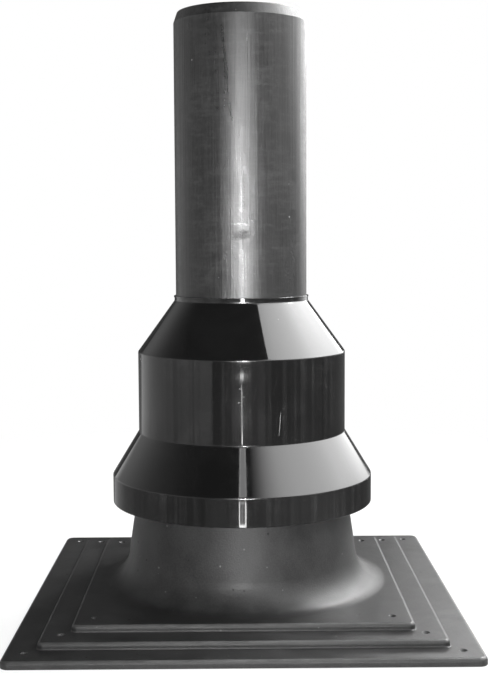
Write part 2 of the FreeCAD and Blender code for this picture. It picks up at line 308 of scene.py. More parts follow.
def make_base():
    """The base flashing as one closed skin: tiers above, hollows below, and the neck between them."""
    shell = Shell()
    neck = [shell.ring(place, normal) for place, normal in neck_outline()]
    shell.bands(neck)
    rises = []
    hollows = []
    for tier, (width, top, corner) in enumerate(zip(TIER_WIDTHS, TIER_TOPS, TIER_CORNERS)):
        half = width / 2
        foot = TIER_TOPS[tier - 1] if tier else 0
        ceiling = top - PLATE_WALL
        if tier:
            foot_corner = [(half + TIER_FOOT_ROUND, foot, 0), (half, foot, TIER_FOOT_ROUND)]
        else:
            foot_corner = [(half - 2 * LOWER_RIM_ROUND, foot, 0), (half, foot, LOWER_RIM_ROUND)]
        outline = round_outline([
            *foot_corner,
            (half, top, TIER_EDGE_ROUND),
            (half - TIER_EDGE_ROUND, top, 0),
        ], closed=False)
        rise = [shell.square(place, normal, half - corner) for place, normal in outline[1:-1]]
        shell.bands(rise)
        rises.append(rise)

        inner = half - PLATE_WALL
        hollow_foot = foot - PLATE_WALL if tier else 0
        outline = round_outline([
            (inner - HOLLOW_ROUND, ceiling, 0),
            (inner, ceiling, HOLLOW_ROUND),
            (inner, hollow_foot, HOLLOW_ROUND / 2),
            (inner + HOLLOW_ROUND / 2, hollow_foot, 0),
        ], closed=False)
        hollow = [shell.square(place, normal, inner - HOLLOW_CORNER) for place, normal in outline[1:-1]]
        shell.bands(hollow)
        hollows.append(hollow)

    shell.fill(rises[0][0], [hollows[0][-1]], up=False)
    for tier in range(3):
        uppers, lowers = drill_tier(shell, tier, TIER_TOPS[tier] - PLATE_WALL)
        inner_top = rises[tier + 1][0] if tier < 2 else neck[0]
        inner_ceiling = hollows[tier + 1][-1] if tier < 2 else neck[-1]
        shell.fill(rises[tier][-1], [inner_top, *uppers], up=True)
        shell.fill(hollows[tier][0], [inner_ceiling, *lowers], up=False)
    return shell.build("moulded_base")


def make_collar():
    low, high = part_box("weather_collar")
    skirt = high.x
    skirt_top = low.z + COLLAR_HEIGHTS["skirt"]
    barrel_foot = skirt_top + COLLAR_HEIGHTS["lower cone"]
    shoulder = barrel_foot + COLLAR_HEIGHTS["barrel"]
    neck_foot = shoulder + COLLAR_HEIGHTS["upper cone"]
    bore = COLLAR_RADIUS - COLLAR_WALL
    neck_bore = COLLAR_NECK_RADIUS - COLLAR_WALL
    lower_lean = math.atan2(skirt - COLLAR_RADIUS, barrel_foot - skirt_top)
    upper_lean = math.atan2(COLLAR_RADIUS - COLLAR_NECK_RADIUS, neck_foot - shoulder)
    lower_mitre = COLLAR_WALL * math.tan(lower_lean / 2)
    upper_mitre = COLLAR_WALL * math.tan(upper_lean / 2)
    bead_foot = high.z - LIP_HEIGHT
    return turn_shell("gloss_collar", [
        (skirt, low.z, SHEET_EDGE_ROUND),
        (skirt, skirt_top, OUTER_CREASE_ROUND),
        (COLLAR_RADIUS, barrel_foot, CREASE_ROUND),
        (COLLAR_RADIUS, shoulder, OUTER_CREASE_ROUND),
        (COLLAR_NECK_RADIUS, neck_foot, CREASE_ROUND),
        (COLLAR_NECK_RADIUS, bead_foot, LIP_BEAD / 4),
        (COLLAR_NECK_RADIUS + LIP_BEAD, bead_foot, LIP_BEAD / 4),
        (COLLAR_NECK_RADIUS + LIP_BEAD, high.z, LIP_BEAD / 2),
        (neck_bore, high.z, LIP_BEAD / 2),
        (neck_bore, neck_foot - upper_mitre, CREASE_ROUND),
        (bore, shoulder - upper_mitre, CREASE_ROUND / 2),
        (bore, barrel_foot - lower_mitre, CREASE_ROUND / 2),
        (skirt - COLLAR_WALL, skirt_top - lower_mitre, CREASE_ROUND / 2),
        (skirt - COLLAR_WALL, low.z, SHEET_EDGE_ROUND),
    ])


def make_pipe():
    low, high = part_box("flue_pipe")
    bore = high.x - PIPE_WALL
    return turn_shell("extruded_pipe", [
        (bore, low.z, PIPE_EDGE_ROUND),
        (high.x, low.z, PIPE_EDGE_ROUND),
        (high.x, high.z - CHAMFER_HEIGHT, PIPE_EDGE_ROUND),
        (high.x - CHAMFER_DEPTH, high.z, PIPE_EDGE_ROUND),
        (bore, high.z, PIPE_EDGE_ROUND),
    ])


def feed(tree, socket, value):
    """Link a socket to an output, or set its value."""
    if isinstance(value, bpy.types.NodeSocket):
        tree.links.new(value, socket)
    else:
        socket.default_value = value


def place_node(tree, kind, inputs=None, **settings):
    """Add a shader node, set its own properties, and give each named input a value or a link."""
    node = tree.nodes.new("ShaderNode" + kind)
    for name, value in settings.items():
        setattr(node, name, value)
    for name, value in (inputs or {}).items():
        feed(tree, node.inputs[name], value)
    return node


def calculate(tree, operation, *values):
    return place_node(tree, "Math", dict(enumerate(values)), operation=operation).outputs[0]


def blend_values(tree, share, first, second):
    inputs = {"Factor": share, "A": first, "B": second}
    return place_node(tree, "Mix", inputs, data_type="FLOAT").outputs["Result"]


def ramp(tree, value, start, end, low=0.0, high=1.0):
    """Map a value smoothly from start..end onto low..high; each of these may be a number or a link."""
    inputs = {"Value": value, "From Min": start, "From Max": end, "To Min": low, "To Max": high}
    return place_node(tree, "MapRange", inputs, interpolation_type="SMOOTHSTEP").outputs["Result"]


def between(tree, mask, low, high):
    """A value that is low where the mask is 0 and high where it is 1."""
    return ramp(tree, mask, 0.0, 1.0, low, high)


def noise(tree, place, scale, **inputs):
    """Noise of 0 to 1 at a place; the other inputs go by their names on the node."""
    return place_node(tree, "TexNoise", {"Vector": place, "Scale": scale, **inputs}).outputs["Fac"]


def split(tree, vector):
    """The X, Y and Z of a vector."""
    return place_node(tree, "SeparateXYZ", {"Vector": vector}).outputs


def start_group(name, inputs, outputs):
    """A shader node group with float inputs, given with their usual values, and float outputs."""
    tree = bpy.data.node_groups.new(name, "ShaderNodeTree")
    for title, value in inputs.items():
        socket = tree.interface.new_socket(title, in_out="INPUT", socket_type="NodeSocketFloat")
        socket.default_value = value
    for title in outputs:
        tree.interface.new_socket(title, in_out="OUTPUT", socket_type="NodeSocketFloat")
    entry = tree.nodes.new("NodeGroupInput")
    leave = tree.nodes.new("NodeGroupOutput")
    return tree, entry.outputs, leave.inputs


def object_place(tree, stretch=(1, 1, 1)):
    """Object coordinates in metres, stretched along each axis."""
    coordinates = place_node(tree, "TexCoord").outputs["Object"]
    return place_node(tree, "Mapping", {"Vector": coordinates, "Scale": stretch}).outputs["Vector"]


def facing_up(tree):
    """How far the surface faces up: 1 on a level top, 0 on an upright wall, -1 underneath."""
    return split(tree, place_node(tree, "TexCoord").outputs["Normal"])["Z"]


# Fixed numbers of the shader groups: scales in waves per metre, and the two levels between which a mask fades
SMEAR_FADE = (-0.2, 0.25)
MARK_WOBBLE_SCALE = 420.0
MARK_BREAK_SCALE = 900.0
MARK_BREAK_FADE = (0.55, 0.42)
EDGE_WEAR_SCALE = 90.0
EDGE_FADE = (1.0, 0.4)

# The wide mottle within the grain: its scale against that of the fine noise, and its share of the tone
MOTTLE_SCALE = 0.07
MOTTLE_SHARE = 0.45


def make_grain_group():
    """The fine tooled texture of a plastic surface."""
    tree, given, result = start_group("fine grain", {"Grain Size": 0.001}, ["Height", "Tone"])
    place = object_place(tree)
    scale = calculate(tree, "DIVIDE", 1.0, given["Grain Size"])
    fine = noise(tree, place, scale, Detail=2.0, Roughness=0.6)
    mottle_scale = calculate(tree, "MULTIPLY", scale, MOTTLE_SCALE)
    mottle = noise(tree, place, mottle_scale, Detail=3.0, Roughness=0.55)
    tree.links.new(fine, result["Height"])
    tree.links.new(blend_values(tree, MOTTLE_SHARE, fine, mottle), result["Tone"])
    return tree


def make_dust_group():
    """Small specks that lie scattered over a surface, for dust and for pits."""
    inputs = {"Spacing": 0.01, "Speck Size": 0.0005, "Share": 0.3}
    tree, given, result = start_group("dust specks", inputs, ["Mask"])
    scale = calculate(tree, "DIVIDE", 1.0, given["Spacing"])
    cells = place_node(tree, "TexVoronoi", {"Vector": object_place(tree), "Scale": scale})
    reach = calculate(tree, "MULTIPLY", given["Speck Size"], scale)
    chance = place_node(tree, "SeparateColor", {"Color": cells.outputs["Color"]})
    grown = calculate(tree, "MULTIPLY", reach, chance.outputs["Green"])
    near = calculate(tree, "LESS_THAN", cells.outputs["Distance"], grown)
    kept = calculate(tree, "LESS_THAN", chance.outputs["Red"], given["Share"])
    tree.links.new(calculate(tree, "MULTIPLY", near, kept), result["Mask"])
    return tree


def make_streak_group():
    """Lines along the axis, as extrusion or wiping leaves them, or round it where Width is over Length."""
    tree, given, result = start_group("lengthwise streaks", {"Width": 0.001, "Length": 0.2}, ["Tone"])
    parts = split(tree, place_node(tree, "TexCoord").outputs["Object"])
    across = calculate(tree, "DIVIDE", 1.0, given["Width"])
    along = calculate(tree, "DIVIDE", 1.0, given["Length"])
    place = place_node(tree, "CombineXYZ", {
        "X": calculate(tree, "MULTIPLY", parts["X"], across),
        "Y": calculate(tree, "MULTIPLY", parts["Y"], across),
        "Z": calculate(tree, "MULTIPLY", parts["Z"], along),
    }).outputs["Vector"]
    tree.links.new(noise(tree, place, 1.0, Detail=3.0, Roughness=0.65), result["Tone"])
    return tree


def make_smear_group():
    """Soft uneven patches, as handling leaves them."""
    tree, given, result = start_group("handling smears", {"Patch Size": 0.05, "Cover": 0.5}, ["Mask"])
    scale = calculate(tree, "DIVIDE", 1.0, given["Patch Size"])
    patches = noise(tree, object_place(tree), scale, Detail=4.0, Roughness=0.6, Distortion=0.6)
    edge = calculate(tree, "SUBTRACT", 1.0, given["Cover"])
    above = calculate(tree, "SUBTRACT", patches, edge)
    tree.links.new(ramp(tree, above, *SMEAR_FADE), result["Mask"])
    return tree


def make_mark_group():
    """One mark, such as a scratch or smudge, at a bearing from the front and a height on a round piece."""
    tree, given, result = start_group("single mark", {
        "Radius": 0.1, "Bearing": 0.0, "Height": 0.0, "Half Width": 0.001, "Half Length": 0.01,
        "Lean": 0.0, "Softness": 0.6, "Broken": 0.5,
    }, ["Mask"])
    coordinates = place_node(tree, "TexCoord").outputs["Object"]
    parts = split(tree, coordinates)
    bearing = calculate(tree, "ARCTAN2", parts["X"], calculate(tree, "MULTIPLY", parts["Y"], -1.0))
    turn = calculate(tree, "SUBTRACT", bearing, given["Bearing"])
    round_way = calculate(tree, "MULTIPLY", turn, given["Radius"])
    up = calculate(tree, "SUBTRACT", parts["Z"], given["Height"])
    across = calculate(tree, "SUBTRACT", round_way, calculate(tree, "MULTIPLY", up, given["Lean"]))
    wobble = noise(tree, coordinates, MARK_WOBBLE_SCALE, Detail=2.0)
    ragged = calculate(tree, "SUBTRACT", wobble, 0.5)
    across = calculate(tree, "ADD", calculate(tree, "DIVIDE", across, given["Half Width"]), ragged)
    along = calculate(tree, "ADD", calculate(tree, "DIVIDE", up, given["Half Length"]), ragged)
    solid = calculate(tree, "SUBTRACT", 1.0, given["Softness"])
    mask = calculate(
        tree, "MULTIPLY",
        ramp(tree, calculate(tree, "ABSOLUTE", across), 1.0, solid),
        ramp(tree, calculate(tree, "ABSOLUTE", along), 1.0, solid),
    )
    breaks = noise(tree, coordinates, MARK_BREAK_SCALE, Detail=1.0)
    gaps = calculate(tree, "MULTIPLY", ramp(tree, breaks, *MARK_BREAK_FADE), given["Broken"])
    unbroken = calculate(tree, "SUBTRACT", 1.0, gaps)
    tree.links.new(calculate(tree, "MULTIPLY", mask, unbroken), result["Mask"])
    return tree


def make_edge_group():
    """The rubbed band along an edge that runs level round the piece."""
    tree, given, result = start_group("rubbed edge", {"Height": 0.0, "Reach": 0.001}, ["Mask"])
    place = object_place(tree)
    above = calculate(tree, "SUBTRACT", split(tree, place)["Z"], given["Height"])
    away = calculate(tree, "ABSOLUTE", above)
    wear = noise(tree, place, EDGE_WEAR_SCALE, Detail=3.0)
    reach = calculate(tree, "MULTIPLY", given["Reach"], calculate(tree, "ADD", wear, 0.5))
    share = calculate(tree, "DIVIDE", away, reach)
    tree.links.new(ramp(tree, share, *EDGE_FADE), result["Mask"])
    return tree


GROUPS = {
    "mark": make_mark_group(),
    "edge": make_edge_group(),
    "grain": make_grain_group(),
    "dust": make_dust_group(),
    "streaks": make_streak_group(),
    "smears": make_smear_group(),
}


def use_group(tree, name, **values):
    node = tree.nodes.new("ShaderNodeGroup")
    node.node_tree = GROUPS[name]
    for title, value in values.items():
        node.inputs[title.replace("_", " ")].default_value = value
    return node.outputs


def start_material(name, **sockets):
    """A material with one Principled shader; sockets that are the same all over are set here."""
    material = bpy.data.materials.new(name)
    material.use_nodes = True
    tree = material.node_tree
    shader = tree.nodes["Principled BSDF"]
    for title, value in sockets.items():
        shader.inputs[title.replace("_", " ")].default_value = value
    return material, tree, shader.inputs


def grey(level):
    return (level, level, level, 1.0)


def lay_coats(tree, ground, coats):
    """A ground of one grey level with coats of (mask, grey level) over it, one after the other."""
    colour = grey(ground)
    for mask, level in coats:
        node = place_node(tree, "Mix", {"Factor": mask}, data_type="RGBA")
        under, over = (socket for socket in node.inputs if socket.type == "RGBA")
        feed(tree, under, colour)
        feed(tree, over, grey(level))
        colour = next(socket for socket in node.outputs if socket.type == "RGBA")
    return colour


def connect_shader(tree, shader, colour, rough, height, strength, distance):
    """Link a material's colour and roughness, and its height as a bump."""
    tree.links.new(colour, shader["Base Color"])
    tree.links.new(rough, shader["Roughness"])
    bump = place_node(tree, "Bump", {"Height": height, "Strength": strength, "Distance": distance})
    tree.links.new(bump.outputs["Normal"], shader["Normal"])


# The levels that noise seldom leaves
NOISE_LEVELS = (0.3, 0.7)

# Forms told apart by how far they face up: each is none of it at the first level and all of it at the second
ROUNDING_STARTS = (0.35, 0.65)
ROUNDING_ENDS = (0.985, 0.90)
LEVEL_TOPS = (0.86, 0.98)
UPRIGHT_WALLS = (0.35, 0.10)

# Paling of the tiers' edges, partly wear and partly a painted highlight: it starts this far outside the
# flare, and it fades to each side of its middle, where the painted highlight is strongest
PALED_EDGE_CLEARANCE = 0.002
PALED_EDGE_MIDDLE = -0.03
PALED_EDGE_FADE = (0.17, 0.02)
PALED_EDGE_LEAST = 0.3


def worn_and_highlit_tier_edges(tree):
    """The rounded upper edges of the tiers, outside the flare, paled partly by handling wear and partly by a
    painted highlight.
    """
    spot = split(tree, place_node(tree, "TexCoord").outputs["Object"])
    sideways = calculate(tree, "ABSOLUTE", spot["X"])
    reach = calculate(tree, "MAXIMUM", sideways, calculate(tree, "ABSOLUTE", spot["Y"]))
    outside = calculate(tree, "GREATER_THAN", reach, FLARE_FOOT_RADIUS + PALED_EDGE_CLEARANCE)
    tilt = facing_up(tree)
    off_wall = ramp(tree, tilt, *ROUNDING_STARTS)
    rounding = calculate(tree, "MULTIPLY", off_wall, ramp(tree, tilt, *ROUNDING_ENDS))
    patchy = use_group(tree, "smears", Patch_Size=0.03, Cover=0.55)["Mask"]
    wear = calculate(tree, "MULTIPLY", rounding, between(tree, patchy, 0.45, 1.0))
    # The fade to each side of the middle is the painted highlight of the lights in front, not wear.
    aside = calculate(tree, "ABSOLUTE", calculate(tree, "SUBTRACT", spot["X"], PALED_EDGE_MIDDLE))
    wear = calculate(tree, "MULTIPLY", wear, ramp(tree, aside, *PALED_EDGE_FADE, PALED_EDGE_LEAST, 1.0))
    return calculate(tree, "MULTIPLY", wear, outside)


def make_base_plastic():
    material, tree, shader = start_material("base plastic", IOR=1.46)
    grain = use_group(tree, "grain", Grain_Size=0.0014)
    dust = use_group(tree, "dust", Spacing=0.007, Speck_Size=0.0010, Share=0.24)
    pits = use_group(tree, "dust", Spacing=0.010, Speck_Size=0.0013, Share=0.25)
    smears = use_group(tree, "smears", Patch_Size=0.06, Cover=0.5)
    # The paled edges are partly wear and partly a painted highlight.
    edges = worn_and_highlit_tier_edges(tree)
    grained = ramp(tree, grain["Tone"], *NOISE_LEVELS)
    coats = ((grained, 0.020), (edges, 0.055), (dust["Mask"], 0.07), (pits["Mask"], 0.001))
    colour = lay_coats(tree, 0.005, coats)
    rough = between(tree, smears["Mask"], 0.51, 0.57)
    rough = calculate(tree, "ADD", rough, ramp(tree, grain["Tone"], *NOISE_LEVELS, -0.04, 0.04))
    rough = calculate(tree, "MULTIPLY_ADD", pits["Mask"], 0.2, rough)
    rough = calculate(tree, "MULTIPLY_ADD", ramp(tree, facing_up(tree), *LEVEL_TOPS), -0.19, rough)
    connect_shader(tree, shader, colour, rough, grain["Height"], strength=0.5, distance=0.0003)
    return material


# Marks on the collar and the pipe, each with these inputs of its group in this order
MARK_INPUTS = ("Bearing", "Height", "Half_Width", "Half_Length", "Lean", "Softness", "Broken")
COLLAR_SCRATCHES = (
    (0.345, 0.1840, 0.0004, 0.0125, 0.08, 0.8, 0.5),
    (-0.019, 0.2159, 0.0012, 0.0005, 0.0, 0.8, 0.5),
    (0.016, 0.2088, 0.0014, 0.0006, 0.5, 0.8, 0.5),
    (-0.028, 0.2035, 0.0012, 0.0006, -0.6, 0.8, 0.5),
)
COLLAR_FAINT_SCRATCHES = (
    (0.197, 0.2235, 0.0004, 0.008, 0.45, 1.0, 0.8),
    (0.120, 0.2130, 0.0004, 0.014, 0.20, 1.0, 0.8),
    (0.250, 0.2050, 0.0004, 0.011, -0.15, 1.0, 0.8),
    (0.300, 0.2180, 0.0004, 0.010, 0.30, 1.0, 0.8),
    (-0.140, 0.2100, 0.0004, 0.012, 0.10, 1.0, 0.8),
)
COLLAR_HAZE = (
    (0.008, 0.2265, 0.012, 0.0075, 0.0, 1.0, 0.0),
    (-0.010, 0.1080, 0.011, 0.0130, 0.0, 1.0, 0.0),
    (-0.010, 0.0985, 0.014, 0.0030, 0.0, 1.0, 0.0),
    (0.010, 0.2400, 0.012, 0.0030, 0.0, 1.0, 0.0),
)
PIPE_RUBBED_STREAKS = (
    (-0.214, 0.5060, 0.0024, 0.044, -0.10, 1.0, 0.0),
    (-0.130, 0.4580, 0.0018, 0.020, -0.20, 1.0, 0.0),
)
PIPE_DARK_MARKS = (
    (-0.010, 0.3500, 0.0125, 0.0050, 0.05, 1.0, 0.3),
    (0.030, 0.3535, 0.0080, 0.0028, 0.0, 1.0, 0.5),
    # The broad mark on the pipe's right side is painted shade, over rougher, dented plastic.
    (0.820, 0.3200, 0.0100, 0.036, 0.0, 1.0, 0.0),
    (-0.056, 0.5503, 0.0007, 0.0007, 0.0, 0.7, 0.0),
)
PIPE_SMOOTH_SIDES = (
    (-0.352, 0.5080, 0.0115, 0.066, -0.11, 0.5, 0.0),
)
# Smoother lines and dashes in the pipe's highlight; their pale colour is a painted highlight.
PIPE_BRIGHT_LINES = (
    (0.004, 0.3840, 0.0006, 0.024, -0.02, 0.9, 0.9),
    (0.030, 0.3800, 0.0005, 0.018, 0.0, 0.9, 0.9),
    (0.025, 0.3205, 0.0007, 0.027, 0.0, 0.9, 0.6),
    (0.066, 0.3190, 0.0006, 0.026, 0.0, 0.9, 0.6),
    (-0.030, 0.3612, 0.0110, 0.0011, 0.0, 0.9, 1.0),
    (0.060, 0.3600, 0.0060, 0.0009, 0.0, 0.9, 1.0),
    (0.100, 0.5270, 0.0012, 0.0060, 0.1, 0.9, 0.9),
)
PIPE_SPECKLED_PATCHES = (
    (-0.213, 0.4160, 0.0022, 0.0085, 0.35, 0.5, 0.0),
    (0.045, 0.3850, 0.0012, 0.0260, 0.0, 0.5, 0.0),
)


# Slight waves in the collar's sheet, per metre along each axis
COLLAR_WAVES = (14, 14, 9)


def gather_marks(tree, radius, marks):
    """The strongest of several single marks."""
    together = 0.0
    for mark in marks:
        mask = use_group(tree, "mark", Radius=radius, **dict(zip(MARK_INPUTS, mark)))["Mask"]
        together = calculate(tree, "MAXIMUM", together, mask)
    return together


def make_collar_gloss():
    material, tree, shader = start_material("collar gloss", IOR=1.62, Coat_Roughness=0.25, Coat_IOR=1.5)
    smears = use_group(tree, "smears", Patch_Size=0.045, Cover=0.45)
    dust = use_group(tree, "dust", Spacing=0.016, Speck_Size=0.0008, Share=0.12)
    streaks = use_group(tree, "streaks", Width=0.0016, Length=0.12)
    bands = use_group(tree, "streaks", Width=0.0075, Length=3.0)
    scratches = gather_marks(tree, COLLAR_RADIUS, COLLAR_SCRATCHES)
    faint = gather_marks(tree, COLLAR_RADIUS, COLLAR_FAINT_SCRATCHES)
    haze = gather_marks(tree, COLLAR_RADIUS, COLLAR_HAZE)
    tree.links.new(between(tree, haze, 0.06, 0.35), shader["Coat Weight"])
    creases = 0.0
    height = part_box("weather_collar")[0].z
    for rise in COLLAR_HEIGHTS.values():
        height += rise
        crease = use_group(tree, "edge", Height=height, Reach=0.0016)["Mask"]
        creases = calculate(tree, "MAXIMUM", creases, crease)
    upright = ramp(tree, calculate(tree, "ABSOLUTE", facing_up(tree)), *UPRIGHT_WALLS)
    banded = calculate(tree, "MULTIPLY", ramp(tree, bands["Tone"], 0.42, 0.60), upright)
    film = calculate(tree, "MULTIPLY", between(tree, smears["Mask"], 0.35, 1.0), banded)
    film = calculate(tree, "MULTIPLY_ADD", smears["Mask"], 0.18, film)
    coats = ((film, 0.0115), (dust["Mask"], 0.10), (faint, 0.022), (scratches, 0.24))
    colour = lay_coats(tree, 0.0010, coats)
    rough = between(tree, smears["Mask"], 0.04, 0.09)
    rough = calculate(tree, "ADD", rough, ramp(tree, streaks["Tone"], 0.5, 0.75, 0.0, 0.03))
    rough = calculate(tree, "ADD", rough, calculate(tree, "MULTIPLY", creases, 0.15))
    waves = noise(tree, object_place(tree, COLLAR_WAVES), 1.0, Detail=1.0)
    connect_shader(tree, shader, colour, rough, waves, strength=0.25, distance=0.0006)
    return material


def make_pipe_plastic():
    material, tree, shader = start_material("pipe plastic", IOR=1.55)
    streaks = use_group(tree, "streaks", Width=0.0006, Length=0.09)
    wide_streaks = use_group(tree, "streaks", Width=0.0034, Length=0.35)
    rings = use_group(tree, "streaks", Width=0.018, Length=0.0040)
    smears = use_group(tree, "smears", Patch_Size=0.02, Cover=0.5)
    grain = use_group(tree, "grain", Grain_Size=0.0012)
    weave = use_group(tree, "grain", Grain_Size=0.0024)
    dust = use_group(tree, "dust", Spacing=0.011, Speck_Size=0.0009, Share=0.12)
    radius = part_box("flue_pipe")[1].x
    # The dark marks are smudges and a dot, and a broad painted shade on the pipe's right side.
    dark = gather_marks(tree, radius, PIPE_DARK_MARKS)
    bright = gather_marks(tree, radius, PIPE_BRIGHT_LINES)
    smooth = gather_marks(tree, radius, PIPE_SMOOTH_SIDES)
    rubbed = gather_marks(tree, radius, PIPE_RUBBED_STREAKS)
    speckled = gather_marks(tree, radius, PIPE_SPECKLED_PATCHES)
    specks = calculate(tree, "MULTIPLY", speckled, ramp(tree, grain["Height"], 0.50, 0.56))
    mottle = blend_values(tree, 0.5, weave["Tone"], rings["Tone"])
    streaked = ramp(tree, streaks["Tone"], 0.3, 0.75)
    mottled = ramp(tree, mottle, 0.44, 0.68)
    # The pale colour of the bright lines is a painted highlight; their lower roughness is real.
    painted_glints = calculate(tree, "MULTIPLY", bright, 0.4)
    colour = lay_coats(tree, 0.003, (
        (streaked, 0.012), (mottled, 0.018), (dark, 0.003),
        (dust["Mask"], 0.12), (specks, 0.001), (painted_glints, 0.16),
    ))
    rough = ramp(tree, wide_streaks["Tone"], *NOISE_LEVELS, 0.36, 0.43)
    rough = calculate(tree, "ADD", rough, between(tree, smears["Mask"], -0.02, 0.02))
    rough = calculate(tree, "ADD", rough, ramp(tree, streaks["Tone"], *NOISE_LEVELS, -0.03, 0.03))
    rough = calculate(tree, "ADD", rough, ramp(tree, mottle, 0.35, 0.65, -0.04, 0.04))
    rough = calculate(tree, "MULTIPLY_ADD", smooth, -0.07, rough)
    rough = calculate(tree, "MULTIPLY_ADD", rubbed, -0.2, rough)
    rough = calculate(tree, "MAXIMUM", rough, 0.27)
    rough = calculate(tree, "MULTIPLY_ADD", calculate(tree, "MAXIMUM", dark, specks), 0.18, rough)
    rough = calculate(tree, "MULTIPLY_ADD", bright, -0.09, rough)
    height = calculate(tree, "MULTIPLY_ADD", wide_streaks["Tone"], 1.5, streaks["Tone"])
    height = calculate(tree, "MULTIPLY_ADD", dark, -1.2, height)
    connect_shader(tree, shader, colour, rough, height, strength=0.5, distance=0.0003)
    return material


def make_seal_rubber():
    material, tree, shader = start_material("seal rubber", IOR=1.5)
    grain = use_group(tree, "grain", Grain_Size=0.0006)
    colour = lay_coats(tree, 0.012, [(ramp(tree, grain["Tone"], *NOISE_LEVELS), 0.022)])
    rough = ramp(tree, grain["Tone"], *NOISE_LEVELS, 0.6, 0.75)
    connect_shader(tree, shader, colour, rough, grain["Height"], strength=0.3, distance=0.0001)
    return material


def dress(piece, material, node):
    piece.data.materials.append(material)
    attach(piece, BODY)
    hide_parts(node)


# Studio. Its panels and cards stay out of the picture, and the gloss shows them.
FLOOR_SIZE = 14.0
FLOOR_DROP = 0.0002
FLOOR_TONE = 0.86
FLOOR_CLEAR = (0.35, 1.0)
FLOOR_LEAST_CLEAR = 0.85
WHITE = 1.0
STUDIO_DARK = 0.11
STUDIO_SIDE_GLOW = 0.40

# Where the studio glows on the left and where it is white behind the object, by the parts of a direction
SIDE_GLOW_LEFTWARD = (0.3, 0.75)
SIDE_GLOW_UPWARD = (0.75, 0.3)
HORIZON_UPWARD = (0.17, 0.04)
HORIZON_BACKWARD = (0.1, 0.5)

# The window panel: degrees round from the front towards the right, and degrees up from level
WINDOW_DISTANCE = 3.0
WINDOW_HUB = Vector((0, 0, 0.2))
WINDOW_RADIANCE = 8.0
WINDOW_ROUNDS = (10, 18, 26, 34, 42, 44.9, 45.1, 52, 60, 70, 80, 90, 100, 106, *range(110, 167, 4))
WINDOW_ROWS = 30
WINDOW_FOOT = 0.5
WINDOW_FADE_STARTS = ((60, 27), (107, 15), (120, 9), (136, 1), (150, -5))
WINDOW_FADE = 9
WINDOW_LEAST_LEVELS = ((40, 0.0), (50, 1.0), (60, 1.7), (75, 1.4), (100, 0.5), (120, 0.2), (166, 0.15))
WINDOW_LOW_SHARES = (
    (12, 0.02), (24, 0.27), (40, 0.53), (57, 0.64), (90, 0.72), (107, 0.76), (120, 0.66),
    (136, 0.54), (166, 0.32),
)
WINDOW_HIGH_SHARES = (
    (46, 0.62), (60, 0.74), (90, 0.90), (107, 1.05), (120, 1.0), (131, 0.91), (145, 0.60), (166, 0.3),
)

# Lines across the window, each level as far as a bearing and sloping down from there: (degrees up, bearing)
WINDOW_TOP_LINE = (66, 60)
WINDOW_HIGH_LINE = (62, 55)
WINDOW_LOW_LINE = (50, 50)
WINDOW_SLOPE = 0.4
WINDOW_CORNER = 45
WINDOW_LEFT_TOP = 54

# The front panel: how far across and up it goes, and its strength across and up
FRONT_DISTANCE = 3.0
FRONT_HEIGHTS = (0.17, 1.2)
FRONT_RADIANCE = 12.5
FRONT_SHARES_ACROSS = (
    (-1.3, 0.0), (-1.0, 0.06), (-0.6, 0.38), (-0.3, 0.75), (0.0, 0.97), (0.2, 1.0), (0.5, 0.92),
    (0.9, 0.55), (1.3, 0.26), (1.8, 0.16), (3.0, 0.12), (4.2, 0.0),
)
FRONT_SHARES_UP = ((0.0, 0.2), (0.2, 0.82), (0.35, 1.0), (0.45, 0.82), (0.7, 0.22), (1.0, 0.0))
FRONT_SLANT = 0.5

# A low light behind on the right, for the sheen on the plate
KICKER_ROUNDS = (146, 168)
KICKER_HEIGHTS = (6, 24)
KICKER_RADIANCE = 7.2

# Light from above the window for the flare, and a small card that puts a star on the collar's neck
FLARE_LIGHT_ROUNDS = (113, 144)
FLARE_LIGHT_HEIGHTS = (40, 58)
FLARE_LIGHT_RADIANCE = 56.0
STAR_CARD = ((-0.03, 0.27), (0.05, 0.165))
STAR_RADIANCE = 45.0

# A small lamp behind the camera and to its right
CAMERA_LAMP_PLACE = (0.05, -1.22, 0.365)
CAMERA_LAMP_AIM = (-0.06, 0.0, 0.40)
CAMERA_LAMP_WIDTH = 0.05
CAMERA_LAMP_SPREAD = 72.0
CAMERA_LAMP_POWER = 3.2

# Upright strips high up in front: (left, right, strength)
OVERHEAD_ROUNDS = ((-3.6, -2.5, 4.5), (-2.5, 3.3, 2.8), (3.3, 4.4, 4.0))
OVERHEAD_HEIGHTS = (47, 60)

# Dim cards behind the object on both sides, which darken its outlines in the gloss
EDGE_CARD_ROUNDS = ((-178, -149), (154, 178))
EDGE_CARD_HEIGHTS = (-4, 14)
EDGE_CARD_DISTANCE = 2.8
EDGE_CARD_RADIANCE = 0.08

# The floor card: rings of (reach, levels), with the levels going round from the front towards the right
CARD_HEIGHT = 0.001
CARD_SKIRT_ROUNDS = (
    (-178, 0.15), (-160, 0.15), (-147, 0.2), (-142, 0.5), (-130, 0.42), (-113, 0.29), (-98, 0.26),
    (-33, 0.25), (-31, 0.24), (0, 0.34), (25, 0.42), (60, 0.50), (71, 0.47), (84, 0.38), (97, 0.25),
    (113, 0.14), (132, 0.11), (178, 0.12),
)
CARD_LEFT_ROUNDS = (
    (-178, 0.15), (-160, 0.15), (-147, 0.2), (-142, 0.8), (-130, 0.78), (-113, 0.62), (-98, 0.60),
    (-84, 0.51), (-71, 0.46), (-33, 0.44),
)
CARD_BARREL_ROUNDS = (
    *CARD_LEFT_ROUNDS, (-31, 0.19), (0, 0.28), (15, 0.33), (30, 0.26), (84, 0.28), (97, 0.17),
    (132, 0.16), (178, 0.12),
)
CARD_FAR_ROUNDS = (
    *CARD_LEFT_ROUNDS, (-31, 0.24), (60, 0.31), (110, 0.3), (138, 2.0), (160, 2.0), (178, 0.12),
)
